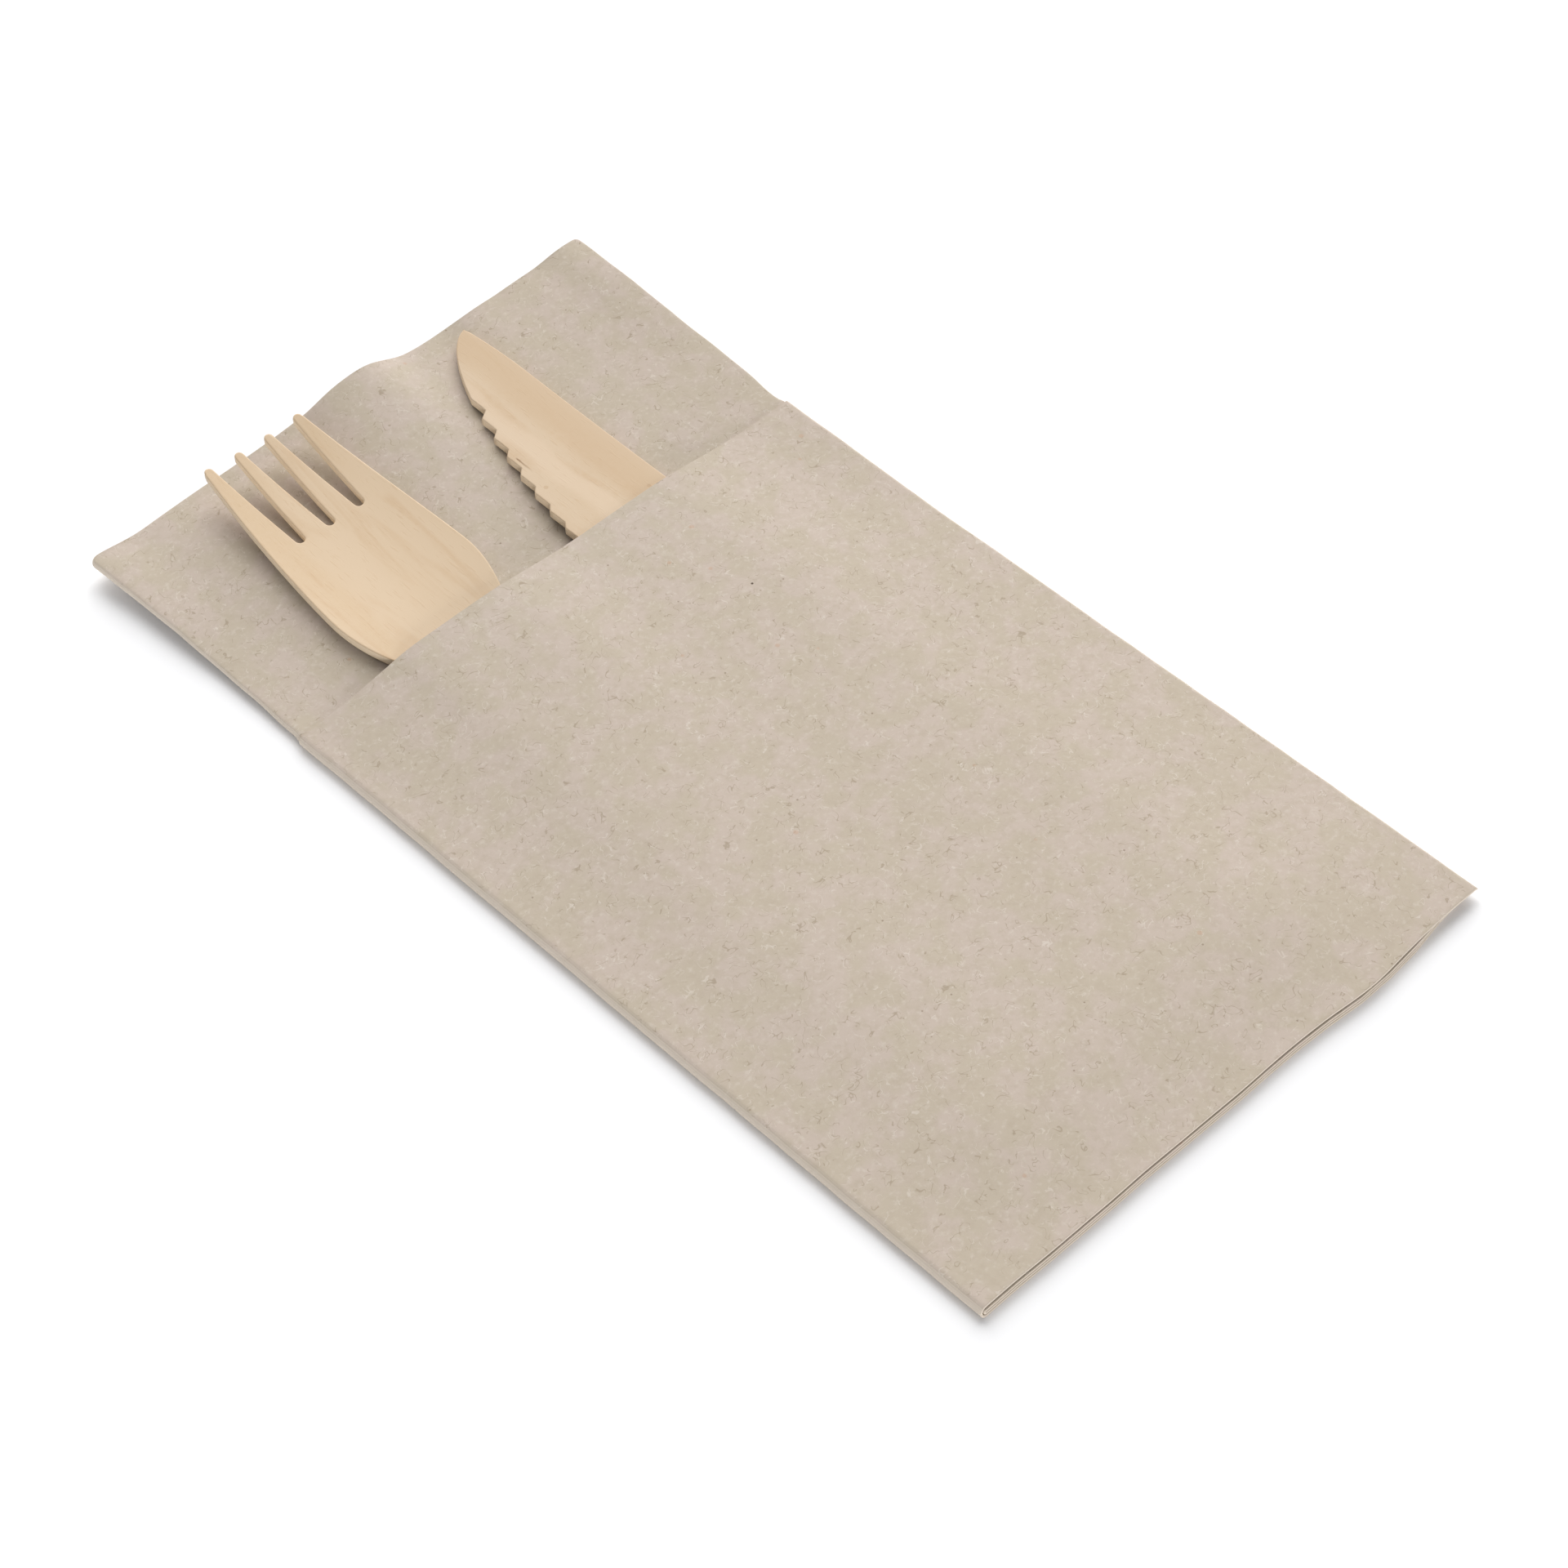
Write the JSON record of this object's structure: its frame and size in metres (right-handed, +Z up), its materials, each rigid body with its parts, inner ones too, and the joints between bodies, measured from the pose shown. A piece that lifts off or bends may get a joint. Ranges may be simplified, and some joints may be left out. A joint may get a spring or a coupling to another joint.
{
  "type": "wooden cutlery pack",
  "caption": "Flat pack of disposable wooden cutlery: a fork and a serrated knife tucked side by side into the pocket of a folded brown tissue napkin, heads showing above the pocket's mouth",
  "frame": {"origin": "on the surface that the pack lies on, under the middle of its outline", "axes": "+X across the pack from the fork's side to the knife's, +Y along it from the bottom fold to the open end with the fork's tines and the knife's tip, +Z up out of the pocket's face"},
  "size_m": [0.0998, 0.1902, 0.0082],
  "materials": {
    "napkin_paper": "soft matt recycled tissue, fine fibres and specks",
    "fork_wood": "plain sanded birch, matt",
    "knife_wood": "plain sanded birch, matt"
  },
  "bodies": {
    "root": {"napkin": "napkin_paper", "fork": "fork_wood", "knife": "knife_wood"}
  },
  "joints": []
}
